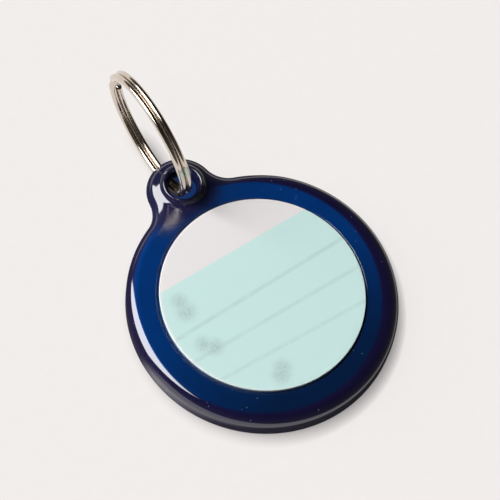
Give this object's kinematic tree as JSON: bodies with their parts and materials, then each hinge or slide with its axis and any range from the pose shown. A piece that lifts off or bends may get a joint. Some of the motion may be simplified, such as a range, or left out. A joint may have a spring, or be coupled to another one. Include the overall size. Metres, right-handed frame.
{
  "type": "cat flap collar key",
  "caption": "Round see-through blue collar key with a two-tone write-on label, a lug with a raised eye and a swinging split ring; a sealed coil tag inside opens a selective cat flap.",
  "frame": {"origin": "centre of the flat back face of the disc", "axes": "+Z out of the label face along the disc's axis, +Y from the disc's centre to the lug and ring, +X to the right with the lug away from the viewer"},
  "size_m": [0.031, 0.0456, 0.016],
  "materials": {
    "shell_blue": "polished, lightly scratched, tinted see-through moulding",
    "label_print": "satin printed vinyl, mint with a bare white segment",
    "foam_grey": "soft open foam",
    "plastic_black": "moulded, unpolished",
    "copper_wire": "enamelled copper winding wire",
    "board_green": "solder-resist coated glass laminate",
    "capacitor_ceramic": "fired ceramic chip",
    "ring_nickel": "bright nickel plating on spring steel"
  },
  "bodies": {
    "disc": {"front_shell": "shell_blue", "rear_cover": "shell_blue", "face_label": "label_print", "foam_sheet": "foam_grey", "coil_former": "plastic_black", "antenna_coil": "copper_wire", "coil_lead_start": "copper_wire", "coil_lead_finish": "copper_wire", "transponder_board": "board_green", "transponder_chip": "plastic_black", "tuning_capacitor": "capacitor_ceramic"},
    "ring": {"split_ring": "ring_nickel"}
  },
  "joints": [
    {"name": "ring_swing", "type": "hinge", "parent": "disc", "child": "ring", "pos_m": [-0.00052, 0.016, 0.0036], "axis": [0.995, -0.0382, 0.0924], "range_deg": [-48, 0.5]}
  ]
}
